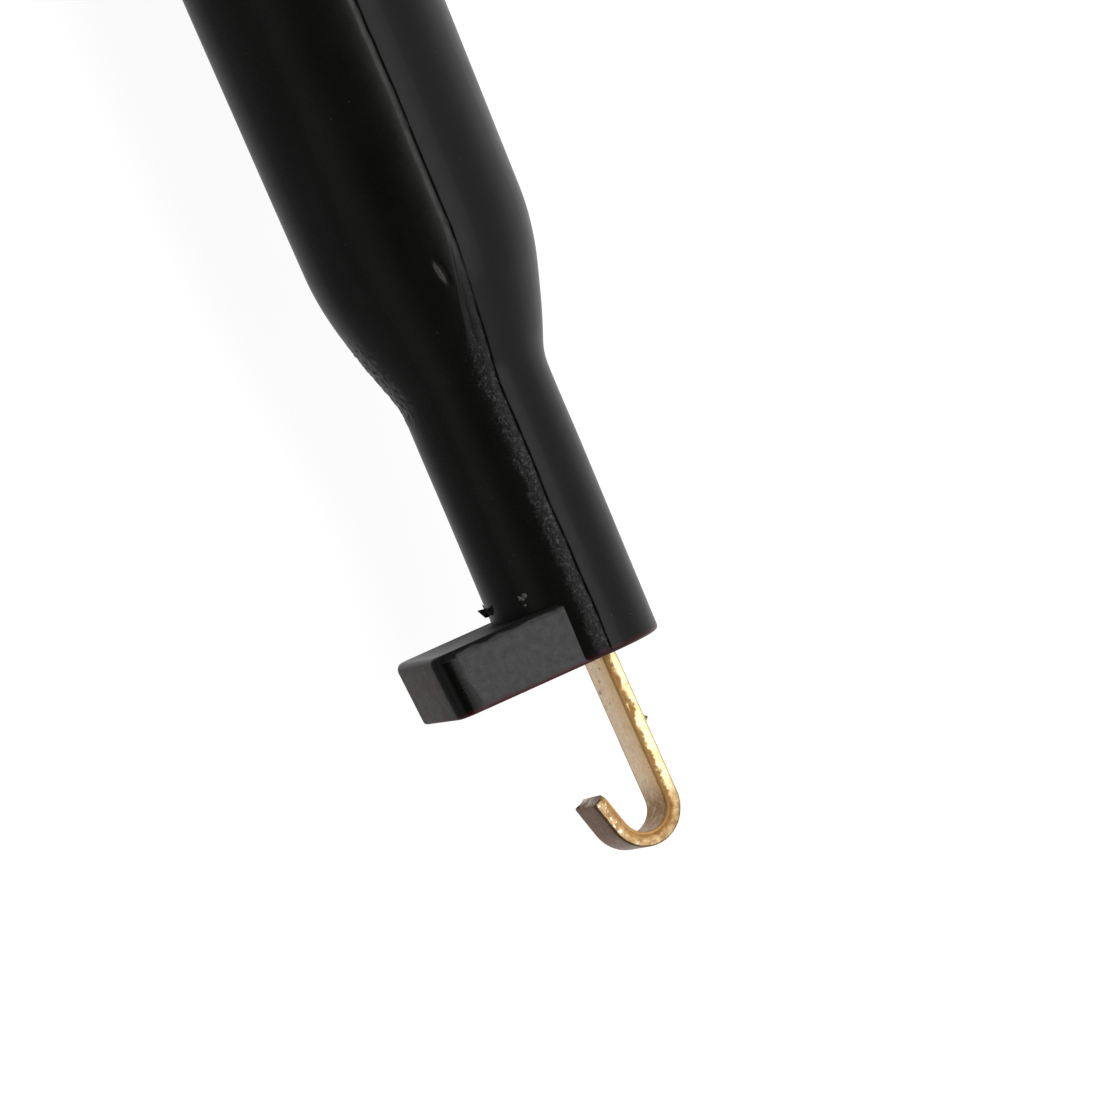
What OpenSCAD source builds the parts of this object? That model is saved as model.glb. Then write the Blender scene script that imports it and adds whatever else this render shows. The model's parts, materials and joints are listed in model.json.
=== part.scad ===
// Oscilloscope probe head with a sprung hook tip, lying along X with its hook at +X.
// Sizes are in millimetres. The origin is on the axis, at the mouth of the rear cable gland.

/* [Cable gland] */
// Diameter of the cable that the gland takes
cable_d = 4; // [3:0.1:4.4]
// Length of the gland nut
gland_len = 7; // [5:0.5:12]
// Diameter of the gland nut at its front face
gland_d = 9.4; // [9:0.1:11]
// Number of grip flutes round the gland nut
gland_flutes = 10; // [6:1:14]

/* [Handle] */
// Length of the two handle shells
handle_len = 78; // [74:1:110]
// Largest diameter of the handle
handle_d = 11.2; // [11:0.1:14]
// Diameter of the handle just in front of the rear collar
handle_rear_d = 9.8; // [9.6:0.1:10.8]
// Number of grip grooves behind the finger guard
grip_grooves = 6; // [3:1:8]
// Distance between neighbouring grip grooves
grip_pitch = 2.3; // [2:0.1:2.6]
// Depth of each grip groove
grip_depth = 0.45; // [0.2:0.05:0.8]

/* [Finger guard] */
// Thickness of the finger guard's flange
guard_len = 3; // [2:0.1:5]
// How far the guard stands out past the handle on each side
guard_rise = 2; // [1:0.1:4]

/* [Attenuator] */
// Outside diameter of the inner shield tube
shield_d = 7; // [6.8:0.1:7.2]
// Wall of the inner shield tube
shield_wall = 0.3; // [0.2:0.05:0.4]
// Thickness of the circuit board
board_t = 0.8; // [0.6:0.1:1]
// Travel of the attenuation switch
switch_travel = 3; // [2:0.1:3.6]
// Height of the switch knob above its flat
knob_h = 1.5; // [1:0.1:2.5]

/* [Probe barrel] */
// Diameter of the ground barrel
barrel_d = 5; // [4.6:0.1:6]
// Length of the ground barrel in front of the finger guard
barrel_len = 27.5; // [20:0.5:34]
// Diameter of the insulator inside the ground barrel
insulator_d = 3.4; // [3:0.1:3.6]
// Length of the insulator's cone in front of the barrel
insulator_nose = 2.5; // [1.5:0.1:4]
// Diameter of the contact needle
needle_d = 0.9; // [0.7:0.05:1.1]
// Length of needle in front of the insulator
needle_reach = 4.5; // [3:0.1:6]

/* [Hook tip sleeve] */
// Length of the whole sleeve
sleeve_len = 50; // [48:1:70]
// Diameter of the straight nose
nose_d = 5.2; // [5:0.1:6.4]
// Length of the straight nose
nose_len = 10.2; // [8:0.1:14]
// Slope of the shoulder behind the nose, in degrees
shoulder_angle = 17.5; // [12:0.5:25]
// Length of the shoulder's straight slope
shoulder_len = 3; // [2:0.1:5]
// Radius that blends the shoulder into the barrel
shoulder_blend_r = 9; // [6:0.5:14]
// Draft of the moulded barrel, in degrees
sleeve_draft = 0.96; // [0.5:0.02:1.2]
// Height of the step that the mould's parting line leaves
parting_step = 0.04; // [0.02:0.01:0.1]
// Thickness of the nose's end wall
nose_wall = 2.1; // [1.5:0.1:3]
// Diameter of the hole that the hook leaves by
hook_hole_d = 2.4; // [2.3:0.1:3]
// Thickness of the pull collar
collar_len = 3.6; // [2.5:0.1:5]
// Width of the pull collar across its two wings
collar_w = 17; // [15:0.5:22]

/* [Jaw lug] */
// Reach of the jaw lug's end from the axis, at its front
lug_reach = 5.7; // [4.5:0.05:7]
// Width of the jaw lug
lug_w = 5; // [4:0.1:5]
// Height of the jaw lug along the nose
lug_h = 2.28; // [1.6:0.02:3]
// Rounding along the two long edges of the lug's end
lug_round = 0.6; // [0.2:0.05:0.8]
// Rounding of the lug's rear outer edge
lug_top_round = 0.32; // [0.2:0.02:0.6]
// Rounding of the lug's front outer edge
lug_foot_round = 0.2; // [0.1:0.02:0.4]
// Droop of the lug towards the hook, in degrees
lug_droop = 0.4; // [0:0.1:2]
// Draft of the lug's end face, in degrees
lug_draft = 4; // [0:0.5:6]

/* [Hook] */
// Thickness of the hook strip
strip_t = 0.53; // [0.4:0.01:0.6]
// Width of the hook strip
strip_w = 1.8; // [1.2:0.02:1.9]
// Inner radius of the hook's bend
bend_r = 0.85; // [0.7:0.01:1.3]
// Angle that the bend turns through
bend_angle = 164; // [140:1:175]
// Distance from the nose's end to the centre of the bend
hook_reach = 5.34; // [4.5:0.02:8]
// Length of the straight arm at the hook's end
arm_len = 1.2; // [0.6:0.05:2]
// Lean of the hook's shank away from the lug, in degrees
hook_lean = 1.4; // [0:0.1:2]
// Distance from the axis to the shank at the nose's end
hook_offset = 0.39; // [0.1:0.01:0.4]
// Turn of the strip about the axis, in degrees
hook_twist = 6; // [0:1:8]

/* [Return spring] */
// Diameter of the spring's wire
spring_wire = 0.45; // [0.3:0.05:0.5]
// Number of turns in the spring
spring_turns = 8; // [5:1:10]
// Length of the spring with the hook out
spring_len = 10.4; // [9.5:0.1:14]

/* [Hidden] */
$fn = 96;

// Fits and clearances
seat_gap = 0.02;
fixed_gap = 0.05;
turn_gap = 0.05;
slide_gap = 0.05;
stem_gap = 0.08;
face_gap = 0.3;
eps = 0.01;
cut = 50;

// Stations along the axis, from the gland to the hook
handle_x = gland_len;
handle_end = handle_x + handle_len;
neck_len = 6;
guard_skirt = 5;
guard_end = handle_end + guard_len;
ring_len = 1.5;
carrier_x = guard_end + ring_len + 0.5;
flange_len = 5.5;
sleeve_x = carrier_x + flange_len + face_gap + 0.2;
nose_x = sleeve_x + sleeve_len;
barrel_end = guard_end + barrel_len;
insulator_end = barrel_end + insulator_nose;
needle_end = insulator_end + needle_reach;

// Radii of the handle
gland_bore_r = cable_d / 2 + 0.1;
handle_r = handle_d / 2;
shield_r = shield_d / 2;
shell_bore_r = shield_r + fixed_gap;
neck_r = shell_bore_r + 0.55;
neck_ring_r = handle_rear_d / 2;
front_neck_r = shell_bore_r + 0.95;
rest_z = handle_r;
guard_r = handle_r + guard_rise;

// Radii of the hook tip, from the barrel outwards
barrel_r = barrel_d / 2;
carrier_bore_r = barrel_r + 0.03;
carrier_wall = 0.57;
carrier_r = carrier_bore_r + carrier_wall;
sleeve_bore_r = carrier_r + slide_gap;
nose_r = nose_d / 2;
stem_r = 1.7;
nose_bore_r = stem_r + stem_gap;
key_w = 1;
key_h = 0.3;

// Places inside the hook tip
tube_end = insulator_end + 1.4;
spring_seat_x = tube_end + spring_len + 2 * fixed_gap;
stem_end = nose_x - nose_wall - 0.4;
socket_r = 1.15;
socket_x = insulator_end + 0.5;
socket_end = needle_end + 3.5;
collar_x = sleeve_x + 5;

// Places inside the handle
bush_len = 5;
bush_r = 3.15;
ferrule_x = handle_x + bush_len;
ferrule_flange = 1.5;
shield_x = ferrule_x + ferrule_flange;
shield_end = handle_end - 4;
switch_x = handle_x + 43;
board_x = switch_x - 14;
board_end = shield_end - 5;
board_top = -0.5;
board_w = 2 * (shield_r - shield_wall) - 1;
flat_z = handle_r - 0.7;
housing_len = switch_travel + 8;
housing_w = 4.6;
housing_top = shield_r - 0.2;
stem_len = 2.4;
stem_w = 1.6;
knob_x = switch_x - switch_travel / 2;

// A solid turned about the X axis from points of [radius, x]
module turned(points) rotate([0, 90, 0]) rotate_extrude() polygon(points);

// A ring of one inner and one outer radius between two stations
module ring(r_in, r_out, x0, x1) turned([[r_in, x0], [r_out, x0], [r_out, x1], [r_in, x1]]);

// A rod along X between two stations
module rod(r, x0, x1) translate([x0, 0, 0]) rotate([0, 90, 0]) cylinder(r = r, h = x1 - x0);

// A box centred in Y between two stations and two heights
module block(x0, x1, w, z0, z1) translate([x0, -w / 2, z0]) cube([x1 - x0, w, z1 - z0]);

// Points of an arc
function arc(c, r, a0, a1, n) =
    [for (i = [0:n]) let (a = a0 + (a1 - a0) * i / n) [c[0] + r * cos(a), c[1] + r * sin(a)]];

/* ---- cable gland ---- */

module gland_nut() {
    flute_r = 0.7;
    color("#1c1c1e") difference() {
        turned([[gland_bore_r, 0], [gland_d / 2 - 1.9, 0], [gland_d / 2 - 1.3, 0.6],
                [gland_d / 2, gland_len - 3.4], [gland_d / 2, gland_len],
                [gland_bore_r, gland_len]]);
        for (i = [0:gland_flutes - 1])
            rotate([i * 360 / gland_flutes, 0, 0])
                translate([1.4, 0, gland_d / 2 + flute_r * 0.45])
                    rotate([0, 90, 0]) cylinder(r = flute_r, h = gland_len - 2.4, $fn = 24);
    }
}

module gland_bush() {
    color("#3a3a3c") ring(gland_bore_r, bush_r, handle_x, ferrule_x - fixed_gap);
}

module rear_collar() {
    x0 = handle_x;
    x1 = handle_x + neck_len;
    color("#2b2b2e")
        turned([[neck_r + seat_gap, x0], [neck_ring_r - 0.3, x0], [neck_ring_r, x0 + 0.3],
                [neck_ring_r, x0 + 2.2], [neck_ring_r - 0.3, x0 + 2.5],
                [neck_ring_r - 0.3, x0 + 3.5], [neck_ring_r, x0 + 3.8], [neck_ring_r, x1],
                [neck_r + seat_gap, x1]]);
}

module cable_ferrule() {
    tube_r = shield_r - shield_wall - 0.7;
    color("#b9b3a4") difference() {
        union() {
            rod(shield_r, ferrule_x, shield_x);
            rod(tube_r, shield_x - eps, shield_x + 6.5);
            for (i = [0:2])
                ring(tube_r - eps, tube_r + 0.25, shield_x + 1.6 + i * 1.6, shield_x + 2.2 + i * 1.6);
        }
        rod(1.3, ferrule_x - 1, shield_x + 8);
    }
}

/* ---- handle ---- */

// Outline of the handle, with its necks and grip grooves
function grip_points() = [
    for (i = [0:grip_grooves - 1])
        let (x = handle_end - guard_skirt - 1.6 - (grip_grooves - i) * grip_pitch)
        each [[handle_r, x], [handle_r - grip_depth, x + 0.4],
              [handle_r - grip_depth, x + 1], [handle_r, x + 1.4]]];

function handle_outline() = concat(
    [[0, handle_x], [neck_r, handle_x], [neck_r, handle_x + neck_len],
     [neck_ring_r, handle_x + neck_len]],
    [for (i = [1:10])
        let (t = i / 10)
        [neck_ring_r + (handle_r - neck_ring_r) * (1 - cos(180 * t)) / 2,
         handle_x + neck_len + 24 * t]],
    grip_points(),
    [[handle_r, handle_end - guard_skirt], [front_neck_r, handle_end - guard_skirt],
     [front_neck_r, handle_end], [0, handle_end]]);

module handle_body() {
    difference() {
        turned(handle_outline());
        rod(shell_bore_r, ferrule_x, handle_end + 1);
        rod(bush_r + seat_gap, handle_x - 1, ferrule_x + 1);
    }
}

// Places of the pins that line the two shells up
pin_r = 0.5;
pin_h = 1.2;
pin_y = (shell_bore_r + handle_r) / 2;
pin_stations = [handle_x + 31, grip_points()[0][1] - 3];

module locating_pins(r, h) {
    for (x = pin_stations, side = [-1, 1])
        translate([x, side * pin_y, -eps]) cylinder(r = r, h = h + eps, $fn = 32);
}

module body_shell_lower() {
    color("#202023") union() {
        difference() {
            handle_body();
            block(-1, handle_end + 1, cut, 0, cut);
        }
        locating_pins(pin_r, pin_h);
    }
}

module body_shell_upper() {
    pad = housing_len / 2;
    color("#242427") difference() {
        handle_body();
        block(-1, handle_end + 1, cut, -cut, seat_gap);
        locating_pins(pin_r + seat_gap, pin_h + face_gap);
        // the flat that the knob slides on, with sloped ends
        translate([0, cut / 2, 0]) rotate([90, 0, 0]) linear_extrude(cut)
            polygon([[switch_x - pad - 5.5, cut], [switch_x - pad - 5.5, handle_r + 0.1],
                     [switch_x - pad - 3.6, flat_z], [switch_x + pad + 3.6, flat_z],
                     [switch_x + pad + 5.5, handle_r + 0.1], [switch_x + pad + 5.5, cut]]);
        // the pocket for the switch housing, and the slot for the knob's stem
        block(switch_x - pad - fixed_gap, switch_x + pad + fixed_gap, housing_w + 2 * fixed_gap,
              -1, housing_top + fixed_gap);
        block(knob_x - stem_len / 2 - face_gap, knob_x + switch_travel + stem_len / 2 + face_gap,
              stem_w + 2 * face_gap, 0, cut);
    }
}

module finger_guard() {
    x0 = handle_end - guard_skirt;
    skirt_r = handle_r - 0.02;
    color("#1f1f21") difference() {
        turned([[0, x0], [skirt_r, x0], [skirt_r, handle_end - 1.6],
                [guard_r - 0.5, handle_end], [guard_r, handle_end + 0.6],
                [guard_r, guard_end - 0.6], [guard_r - 0.6, guard_end], [0, guard_end]]);
        rod(front_neck_r + seat_gap, x0 - 1, handle_end);
        rod(barrel_r + seat_gap, x0 - 1, guard_end + 1);
        // finger scallops in the two sides that the flats leave
        for (side = [-1, 1], i = [-1:1])
            rotate([i * 22, 0, 0]) translate([handle_end - 3, side * (guard_r + 1.1), 0])
                rotate([0, 90, 0]) cylinder(r = 1.5, h = 3 + guard_len + 1);
        for (side = [-1, 1])
            translate([handle_end + 1, 0, side * (rest_z + cut / 2)]) cube(cut, center = true);
    }
}

/* ---- attenuator inside the handle ---- */

module inner_shield() {
    window = housing_len / 2 + 0.3;
    color("#c8c2b0") difference() {
        ring(shield_r - shield_wall, shield_r, shield_x, shield_end);
        block(switch_x - window, switch_x + window, housing_w + 0.3, 0, cut);
    }
}

module circuit_board() {
    color("#2f6b3c") difference() {
        block(board_x, board_end, board_w, board_top - board_t, board_top);
        // notches that the crimped shield's tabs enter
        for (side = [-1, 1])
            translate([board_x + 4, side * board_w / 2, board_top])
                cube([2, 1, 3 * board_t], center = true);
    }
}

module centre_conductor() {
    r = 0.22;
    color("#c98a4a") translate([0, 0, board_top + r + seat_gap]) union() {
        rod(r, shield_x + 2, board_x + 3);
        translate([board_x + 3, 0, 0]) sphere(r = r, $fn = 24);
    }
}

module input_resistor() {
    r = 0.85;
    x0 = switch_x + housing_len / 2 + 4.2;
    lead = 0.2;
    z = r + 0.15;
    color("#8fb3c9") translate([x0, 0, board_top]) union() {
        translate([0, 0, z]) {
            rod(r, 0, 1.3);
            rod(r * 0.86, 1.2, 5.1);
            rod(r, 5, 6.3);
            rod(lead, -0.8, 7.1);
        }
        for (x = [-0.8, 7.1])
            translate([x, 0, seat_gap]) {
                cylinder(r = lead, h = z - seat_gap, $fn = 24);
                translate([0, 0, z - seat_gap]) sphere(r = lead, $fn = 24);
            }
    }
}

module trimmed_capacitor() {
    x0 = switch_x + housing_len / 2 + 1;
    color("#c9b48a") union() {
        block(x0, x0 + 1.6, 3, board_top + seat_gap, board_top + 0.9);
        for (side = [-1, 1])
            translate([x0 - 0.05, side * 1.35 - 0.2, board_top + seat_gap]) cube([1.7, 0.4, 0.95]);
    }
}

module switch_housing() {
    x0 = switch_x - housing_len / 2;
    x1 = switch_x + housing_len / 2;
    wall = 0.6;
    color("#d9d6cc") difference() {
        block(x0, x1, housing_w, board_top, housing_top);
        block(x0 + wall, x1 - wall, housing_w - 2 * wall, board_top - 1, housing_top - 0.5);
        block(knob_x - stem_len / 2 - face_gap, knob_x + switch_travel + stem_len / 2 + face_gap,
              stem_w + 2 * face_gap, 0, cut);
    }
}

module switch_contacts() {
    color("#d8b45a")
        for (i = [-1:1])
            block(switch_x + i * switch_travel - 0.8, switch_x + i * switch_travel + 0.8, 1.4,
                  board_top, board_top + 0.2);
}

module switch_bridge() {
    half = switch_travel / 2;
    z0 = board_top + 0.3;
    color("#e0c070") translate([knob_x, 0.6, 0]) rotate([90, 0, 0]) linear_extrude(1.2)
        polygon([[-half - 0.6, z0 + 0.45], [-half - 0.2, z0], [-half + 0.2, z0],
                 [-0.5, z0 + 0.75], [0.5, z0 + 0.75], [half - 0.2, z0], [half + 0.2, z0],
                 [half + 0.6, z0 + 0.45], [half + 0.45, z0 + 0.6], [half + 0.1, z0 + 0.2],
                 [half - 0.1, z0 + 0.2], [0.6, z0 + 0.95], [-0.6, z0 + 0.95],
                 [-half + 0.1, z0 + 0.2], [-half - 0.1, z0 + 0.2], [-half - 0.45, z0 + 0.6]]);
}

module switch_knob() {
    stem_z = board_top + 0.3 + 0.95 + seat_gap;
    z0 = flat_z + 0.15;
    z1 = handle_r + knob_h - 0.7;
    half = 3.3;
    color("#3c3c40") union() {
        block(knob_x - stem_len / 2, knob_x + stem_len / 2, stem_w, stem_z, z0 + 0.5);
        translate([knob_x, 2.1, 0]) rotate([90, 0, 0]) linear_extrude(4.2)
            polygon([[-half, z0], [half, z0], [half - 0.5, z1 - 0.7],
                     [1.9, z1 - 0.1], [1.6, z1], [1.3, z1 - 0.45], [0.95, z1 - 0.45],
                     [0.65, z1], [0.3, z1 - 0.45], [-0.3, z1 - 0.45], [-0.65, z1],
                     [-0.95, z1 - 0.45], [-1.3, z1 - 0.45], [-1.6, z1], [-1.9, z1 - 0.1],
                     [-half + 0.5, z1 - 0.7]]);
    }
}

/* ---- probe barrel ---- */

module ground_barrel() {
    bore = insulator_d / 2 + seat_gap;
    color("#c9c4b8")
        turned([[bore, shield_end], [shield_r, shield_end], [shield_r, handle_end],
                [barrel_r, handle_end], [barrel_r, barrel_end - 0.5],
                [barrel_r - 0.35, barrel_end], [bore, barrel_end]]);
}

module ground_ring() {
    color("#d8b45a")
        turned([[barrel_r + seat_gap, guard_end], [barrel_r + 0.9, guard_end],
                [barrel_r + 0.9, guard_end + ring_len - 0.3],
                [barrel_r + 0.6, guard_end + ring_len], [barrel_r + seat_gap, guard_end + ring_len]]);
}

module tip_insulator() {
    r = insulator_d / 2;
    bore = needle_d / 2 + seat_gap;
    color("#e6e2d8")
        turned([[bore, shield_end - 2], [r, shield_end - 2], [r, barrel_end + 0.3],
                [r * 0.62, insulator_end], [bore, insulator_end]]);
}

module probe_needle() {
    r = needle_d / 2;
    color("#d8b45a")
        turned([[0, board_end - 3], [r, board_end - 3], [r, needle_end - 1.3],
                [0.08, needle_end], [0, needle_end]]);
}

/* ---- hook tip ---- */

module collet_clip() {
    mouth = 40;
    color("#cfcfd2")
        translate([carrier_x + 1.8 + turn_gap, 0, 0]) rotate([0, 90, 0])
            rotate_extrude(angle = 360 - mouth, start = mouth / 2)
                translate([barrel_r + 0.02, 0]) square([0.45, 1.8]);
}

module hook_carrier() {
    flange_r = carrier_r + 1.2;
    groove_x = carrier_x + 1.8;
    color("#222225") difference() {
        union() {
            turned([[0, carrier_x], [flange_r - 0.3, carrier_x], [flange_r, carrier_x + 0.3],
                    [flange_r, carrier_x + 1.2], [flange_r - 0.4, carrier_x + 1.6],
                    [flange_r - 0.4, carrier_x + 2.2], [flange_r, carrier_x + 2.6],
                    [flange_r, carrier_x + 3.4], [flange_r - 0.4, carrier_x + 3.8],
                    [flange_r - 0.4, carrier_x + 4.4], [flange_r, carrier_x + 4.8],
                    [flange_r, carrier_x + flange_len - 0.3],
                    [flange_r - 0.3, carrier_x + flange_len], [carrier_r, carrier_x + flange_len],
                    [carrier_r, tube_end], [stem_r, tube_end], [stem_r, stem_end - 0.3],
                    [stem_r - 0.3, stem_end], [0, stem_end]]);
            // the key that keeps the hook in line with the lug
            block(tube_end - 8, tube_end, key_w, stem_r + 0.2, carrier_r + key_h);
        }
        rod(carrier_bore_r, carrier_x - 1, barrel_end + face_gap);
        rod(insulator_d / 2 + 0.2, barrel_end, insulator_end + face_gap);
        rod(socket_r + seat_gap, insulator_end, socket_end + fixed_gap);
        ring(carrier_bore_r - 0.5, barrel_r + 0.55, groove_x, groove_x + 1.9);
        // the channel that the hook's shank lies in
        rotate([-hook_twist, 0, 0])
            translate([socket_end, -strip_t / 2 - fixed_gap, -strip_w / 2 - fixed_gap])
                cube([cut, strip_t + hook_offset + 2 * fixed_gap, strip_w + 2 * fixed_gap]);
    }
}

module contact_socket() {
    bore = needle_d / 2 + 0.02;
    slit_len = 3;
    color("#d8b45a") difference() {
        turned([[bore + 0.25, socket_x], [socket_r - 0.1, socket_x], [socket_r, socket_x + 0.2],
                [socket_r, socket_end], [bore, socket_end], [bore, socket_x + 0.4]]);
        for (turn = [0, 90])
            rotate([turn, 0, 0]) block(socket_x - 1, socket_x + slit_len, 0.25, -cut, cut);
    }
}

// The spring's mean radius, its first turn's centre and its pitch
spring_r = sleeve_bore_r - 0.12 - spring_wire / 2;
spring_x = tube_end + fixed_gap + spring_wire / 2;
spring_pitch = (spring_len - spring_wire) / spring_turns;
spring_rings = 8;
spring_sides = 6;

least_gap = spring_pitch * cos(atan(spring_pitch / (2 * PI * spring_r))) - spring_wire;
echo(least_spring_gap = least_gap);

module return_spring() {
    n = spring_turns * spring_rings;
    ring_points = [
        for (i = [0:n], k = [0:spring_sides - 1])
            let (a = i * 360 / spring_rings, b = k * 360 / spring_sides, w = spring_wire / 2,
                 x = spring_x + spring_pitch * i / spring_rings, r = spring_r + w * cos(b))
            [x + w * sin(b), r * cos(a), r * sin(a)]];
    sides = [
        for (i = [0:n - 1], k = [0:spring_sides - 1])
            let (p = i * spring_sides + k, q = i * spring_sides + (k + 1) % spring_sides)
            each [[p, q, q + spring_sides], [p, q + spring_sides, p + spring_sides]]];
    last = n * spring_sides;
    ends = [
        for (k = [1:spring_sides - 2])
            each [[0, k + 1, k], [last, last + k, last + k + 1]]];
    color("#b8babd") polyhedron(points = ring_points, faces = concat(sides, ends));
}

// The hook: a flat strip, bent back on itself towards the lug
module hook_strip() {
    outer_r = bend_r + strip_t;
    mean_r = bend_r + strip_t / 2;
    bend_y = hook_offset + hook_reach * tan(hook_lean);
    centre = [hook_reach, bend_y - mean_r / cos(hook_lean)];
    lean_x = hook_lean > 0 ? -hook_offset / tan(hook_lean) : 0;
    mitre = strip_t / 2 * tan(hook_lean / 2);
    shank_start = socket_end + fixed_gap - nose_x;
    start_a = 90 + hook_lean;
    end_a = start_a - bend_angle;
    arm = arm_len * [sin(end_a), -cos(end_a)];
    end_dir = [cos(end_a), sin(end_a)];
    steps = 40;
    color("#d9b77a") rotate([-hook_twist, 0, 0]) translate([nose_x, 0, -strip_w / 2])
        linear_extrude(strip_w)
            polygon(concat([[shank_start, strip_t / 2], [lean_x - mitre, strip_t / 2]],
                           arc(centre, outer_r, start_a, end_a, steps),
                           [centre + outer_r * end_dir + arm, centre + bend_r * end_dir + arm],
                           arc(centre, bend_r, end_a, start_a, steps),
                           [[lean_x + mitre, -strip_t / 2], [shank_start, -strip_t / 2]]));
}

// Outer radius of the sleeve at a distance back from the nose's end
slope_end = nose_len + shoulder_len;
slope_r = nose_r + shoulder_len * tan(shoulder_angle);
blend_s = slope_end + shoulder_blend_r * sin(shoulder_angle);
blend_c = slope_r - shoulder_blend_r * cos(shoulder_angle);
blend_end = blend_s - shoulder_blend_r * sin(sleeve_draft);
blend_end_r = blend_c + shoulder_blend_r * cos(sleeve_draft);
function sleeve_r(s) = blend_end_r + (s - blend_end) * tan(sleeve_draft);
function blend_points(rise, n) = [
    for (i = [0:n]) let (a = shoulder_angle + (sleeve_draft - shoulder_angle) * i / n)
        [blend_c + shoulder_blend_r * cos(a) + rise, nose_x - blend_s + shoulder_blend_r * sin(a)]];

module sleeve_blank() {
    round_r = 0.15;
    collar_s = nose_x - collar_x - collar_len;
    barrel_end_r = sleeve_r(collar_s);
    skirt_r = barrel_end_r + 0.5;
    turned(concat(
        [[0, nose_x]],
        arc([nose_r - round_r, nose_x - round_r], round_r, 90, 0, 5),
        [[nose_r, nose_x - nose_len]],
        blend_points(0, 10),
        [[barrel_end_r, collar_x + collar_len + 1.2], [barrel_end_r + 1.2, collar_x + collar_len],
         [collar_w / 2 - 0.5, collar_x + collar_len], [collar_w / 2, collar_x + collar_len - 0.5],
         [collar_w / 2, collar_x + 0.5], [collar_w / 2 - 0.5, collar_x], [skirt_r, collar_x],
         [skirt_r, sleeve_x + 0.4], [skirt_r - 0.4, sleeve_x], [0, sleeve_x]]));
}

// The mould's halves don't quite meet: on the lug's side the barrel stands up by the
// parting step at the parting line, and the step dies out towards the barrel's side
module parting_offset() {
    s0 = slope_end + 1.1;
    s1 = nose_x - collar_x - collar_len - 1.2;
    spread = 80;
    translate([0, 0, parting_step]) rotate([0, 90, 0])
        rotate_extrude(angle = spread, start = 180)
            polygon([[nose_r, nose_x - s0], [sleeve_r(s0) - 0.05, nose_x - s0],
                     [sleeve_r(s0 + 1.2), nose_x - s0 - 1.2], [sleeve_r(s1), nose_x - s1],
                     [nose_r, nose_x - s1]]);
}

module jaw_lug() {
    top = lug_top_round;
    foot = lug_foot_round;
    half = lug_w / 2;
    rear_reach = lug_reach + lug_h * tan(lug_draft);
    translate([nose_x, 0, 0]) rotate([0, 0, lug_droop]) intersection() {
        // seen from above: rounded rear and front corners, and the end's draft
        translate([0, 0, -lug_w]) linear_extrude(2 * lug_w)
            polygon(concat([[0, 0], [-lug_h, 0]],
                           arc([top - lug_h, -rear_reach + top], top, 180, 270 - lug_draft, 6),
                           arc([-foot, -lug_reach + foot], foot, 270 - lug_draft, 360, 6)));
        // seen along the axis: the long edges of the lug's end are rounded
        rotate([0, 0, lug_draft]) translate([-lug_h - 1, 0, 0]) rotate([90, 0, 90])
            linear_extrude(lug_h + 2)
                polygon(concat([[1, -half]],
                               arc([-lug_reach + lug_round, -half + lug_round], lug_round,
                                   270, 180, 8),
                               arc([-lug_reach + lug_round, half - lug_round], lug_round,
                                   180, 90, 8),
                               [[1, half]]));
    }
}

module hook_sleeve() {
    color("#1b1b1e") difference() {
        union() {
            sleeve_blank();
            parting_offset();
            jaw_lug();
        }
        rod(hook_hole_d / 2, nose_x - nose_wall - 1, nose_x + 1);
        rod(nose_bore_r, spring_seat_x - 1, nose_x - nose_wall);
        rod(sleeve_bore_r, sleeve_x - 1, spring_seat_x);
        // the slot that the carrier's key runs in
        block(sleeve_x - 1, tube_end + 5.5, key_w + 0.2, stem_r, carrier_r + key_h + 0.1);
        // flats that make two wings of the collar
        for (side = [-1, 1])
            translate([collar_x + collar_len / 2, 0, side * (rest_z + cut / 2)])
                cube([collar_len + 2, cut, cut], center = true);
    }
}

gland_nut();
gland_bush();
rear_collar();
cable_ferrule();
body_shell_lower();
body_shell_upper();
inner_shield();
circuit_board();
centre_conductor();
input_resistor();
trimmed_capacitor();
switch_housing();
switch_contacts();
switch_bridge();
switch_knob();
finger_guard();
ground_barrel();
ground_ring();
tip_insulator();
probe_needle();
collet_clip();
hook_carrier();
contact_socket();
return_spring();
hook_strip();
hook_sleeve();
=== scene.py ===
"""Looks of the oscilloscope probe head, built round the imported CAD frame. Metres."""
import math

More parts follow.
